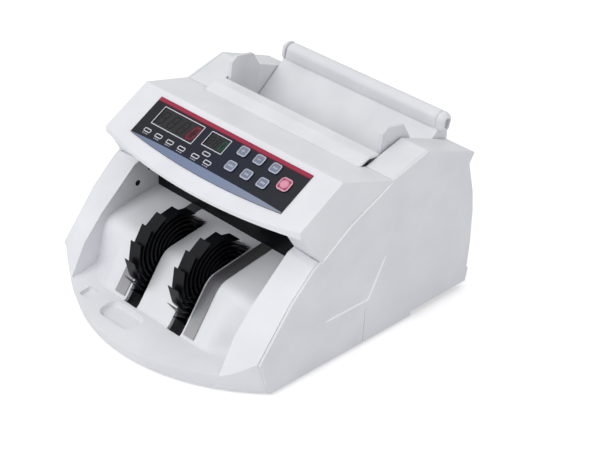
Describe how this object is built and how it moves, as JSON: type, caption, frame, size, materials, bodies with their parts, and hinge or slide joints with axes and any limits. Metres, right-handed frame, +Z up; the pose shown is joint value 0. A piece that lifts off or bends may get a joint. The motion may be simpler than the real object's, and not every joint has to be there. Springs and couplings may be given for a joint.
{
  "type": "banknote counting machine",
  "caption": "Table-top banknote counter: sloping control hood over a stacker tray with vaned wheels, rear hopper with sliding guides, hinged lid with handle, mains lead.",
  "frame": {"origin": "on the table under the middle of the machine's box, without its mains lead", "axes": "+X to the machine's right seen from the front, +Y to its back, +Z up"},
  "size_m": [0.2525, 0.396, 0.1655],
  "materials": {
    "painted_steel": "satin grey powder coat",
    "foot_rubber": "matte moulded rubber",
    "cover_plastic": "satin white moulded plastic",
    "side_plastic": "satin white moulded plastic",
    "hopper_plastic": "satin light grey plastic",
    "guide_plastic": "satin grey-white plastic",
    "bright_steel": "ground steel",
    "black_plastic": "matte black plastic",
    "brushed_strip": "brushed along its length",
    "overlay_film": "printed polyester film, dark blue-black with a red top stripe",
    "digit_window": "dark red filter",
    "batch_window": "dark green filter",
    "key_dome": "grey domed key",
    "start_key_dome": "red domed key",
    "circuit_board": "green solder mask",
    "plated_steel": "zinc-plated sheet",
    "bush_bronze": "sintered bronze",
    "core_steel": "varnished laminations",
    "motor_steel": "grey painted can",
    "roller_rubber": "ground rubber",
    "feed_rubber": "brown ground rubber",
    "vane_plastic": "black flexible plastic",
    "lamp_glass": "frosted tube",
    "switch_red": "red rocker",
    "lead_plastic": "soft black vinyl",
    "pin_metal": "nickel-plated pins"
  },
  "bodies": {
    "machine": {"base_plate": "painted_steel", "rubber_feet": "foot_rubber", "front_cover": "cover_plastic", "left_side_panel": "side_plastic", "right_side_panel": "side_plastic", "control_hood": "cover_plastic", "hopper_deck": "cover_plastic", "hopper_front_plate": "hopper_plastic", "rear_panel": "side_plastic", "guide_rods": "bright_steel", "outlet_visor": "black_plastic", "tray_rails": "brushed_strip", "panel_overlay": "overlay_film", "count_display": "digit_window", "batch_display": "batch_window", "display_board": "circuit_board", "left_side_frame": "plated_steel", "right_side_frame": "plated_steel", "tie_rods": "bright_steel", "shaft_bushes": "bush_bronze", "main_board": "circuit_board", "transformer": "core_steel", "drive_motor": "motor_steel", "drive_belts": "roller_rubber", "retard_bracket": "plated_steel", "retard_roller": "feed_rubber", "uv_lamp": "lamp_glass", "note_sensors": "black_plastic", "cover_screws": "bright_steel", "power_inlet": "black_plastic", "switch_frame": "black_plastic", "lead_connector": "lead_plastic", "mains_lead": "lead_plastic", "lead_coil": "lead_plastic", "plug_body": "lead_plastic", "plug_pins": "pin_metal"},
    "lid": {"rear_lid": "cover_plastic"},
    "left_guide": {"left_note_guide": "guide_plastic"},
    "right_guide": {"right_note_guide": "guide_plastic"},
    "feed": {"feed_shaft": "bright_steel", "feed_rollers": "feed_rubber"},
    "accelerator": {"accelerator_shaft": "bright_steel", "accelerator_rollers": "roller_rubber"},
    "pickup": {"pickup_shaft": "bright_steel", "pickup_rollers": "feed_rubber"},
    "stacker": {"stacker_shaft": "bright_steel", "stacker_wheels": "vane_plastic"},
    "pinch": {"pinch_axle": "bright_steel", "pinch_rollers": "roller_rubber"},
    "rotor": {"motor_rotor": "bright_steel"},
    "adjuster": {"gap_screw": "bright_steel"},
    "rocker": {"power_switch": "switch_red"},
    "key_1_body": {"key_1": "key_dome"},
    "key_2_body": {"key_2": "key_dome"},
    "key_3_body": {"key_3": "key_dome"},
    "key_4_body": {"key_4": "key_dome"},
    "key_5_body": {"key_5": "key_dome"},
    "key_6_body": {"key_6": "key_dome"},
    "start_key_body": {"start_key": "start_key_dome"}
  },
  "joints": [
    {"name": "rear_lid_hinge", "type": "hinge", "parent": "machine", "child": "lid", "pos_m": [0, 0.136, 0.074], "axis": [-1, 0, 0], "range_deg": [0, 50]},
    {"name": "left_guide_slide", "type": "slide", "parent": "machine", "child": "left_guide", "axis": [1, 0, 0], "range_m": [0, 0.024]},
    {"name": "right_guide_slide", "type": "slide", "parent": "machine", "child": "right_guide", "axis": [-1, 0, 0], "range_m": [0, 0.024]},
    {"name": "feed_spin", "type": "hinge", "parent": "machine", "child": "feed", "pos_m": [0, 0.044, 0.098], "axis": [1, 0, 0], "continuous": true},
    {"name": "accelerator_spin", "type": "hinge", "parent": "machine", "child": "accelerator", "pos_m": [0, 0.006, 0.086], "axis": [1, 0, 0], "continuous": true},
    {"name": "pickup_spin", "type": "hinge", "parent": "machine", "child": "pickup", "pos_m": [0, 0.08, 0.104], "axis": [1, 0, 0], "continuous": true},
    {"name": "stacker_spin", "type": "hinge", "parent": "machine", "child": "stacker", "pos_m": [0, -0.0625, 0.049], "axis": [1, 0, 0], "continuous": true},
    {"name": "pinch_spin", "type": "hinge", "parent": "machine", "child": "pinch", "pos_m": [0, 0.006, 0.10635], "axis": [1, 0, 0], "continuous": true},
    {"name": "motor_spin", "type": "hinge", "parent": "machine", "child": "rotor", "pos_m": [0, 0.06, 0.045], "axis": [1, 0, 0], "continuous": true},
    {"name": "gap_screw_turn", "type": "hinge", "parent": "machine", "child": "adjuster", "pos_m": [0, 0.058, 0.135], "axis": [0, 1, 0], "range_deg": [-180, 180]},
    {"name": "rocker_tilt", "type": "hinge", "parent": "machine", "child": "rocker", "pos_m": [0.024, 0.138, 0.022], "axis": [1, 0, 0], "range_deg": [0, 16]},
    {"name": "key_1_press", "type": "slide", "parent": "machine", "child": "key_1_body", "axis": [0, 0.4948, -0.869], "range_m": [0, 0.0004], "stiffness_N_per_m": 400, "springref_m": -0.002},
    {"name": "key_2_press", "type": "slide", "parent": "machine", "child": "key_2_body", "axis": [0, 0.4948, -0.869], "range_m": [0, 0.0004], "stiffness_N_per_m": 400, "springref_m": -0.002},
    {"name": "key_3_press", "type": "slide", "parent": "machine", "child": "key_3_body", "axis": [0, 0.4948, -0.869], "range_m": [0, 0.0004], "stiffness_N_per_m": 400, "springref_m": -0.002},
    {"name": "key_4_press", "type": "slide", "parent": "machine", "child": "key_4_body", "axis": [0, 0.4948, -0.869], "range_m": [0, 0.0004], "stiffness_N_per_m": 400, "springref_m": -0.002},
    {"name": "key_5_press", "type": "slide", "parent": "machine", "child": "key_5_body", "axis": [0, 0.4948, -0.869], "range_m": [0, 0.0004], "stiffness_N_per_m": 400, "springref_m": -0.002},
    {"name": "key_6_press", "type": "slide", "parent": "machine", "child": "key_6_body", "axis": [0, 0.4948, -0.869], "range_m": [0, 0.0004], "stiffness_N_per_m": 400, "springref_m": -0.002},
    {"name": "start_key_press", "type": "slide", "parent": "machine", "child": "start_key_body", "axis": [0, 0.4948, -0.869], "range_m": [0, 0.0004], "stiffness_N_per_m": 400, "springref_m": -0.002}
  ],
  "couplings": [
    {"joint": "accelerator_spin", "follows": "feed_spin", "ratio": 1.2222},
    {"joint": "pickup_spin", "follows": "feed_spin", "ratio": 1},
    {"joint": "stacker_spin", "follows": "feed_spin", "ratio": 0.91667},
    {"joint": "pinch_spin", "follows": "feed_spin", "ratio": -2.2698},
    {"joint": "motor_spin", "follows": "feed_spin", "ratio": 1.2222}
  ]
}
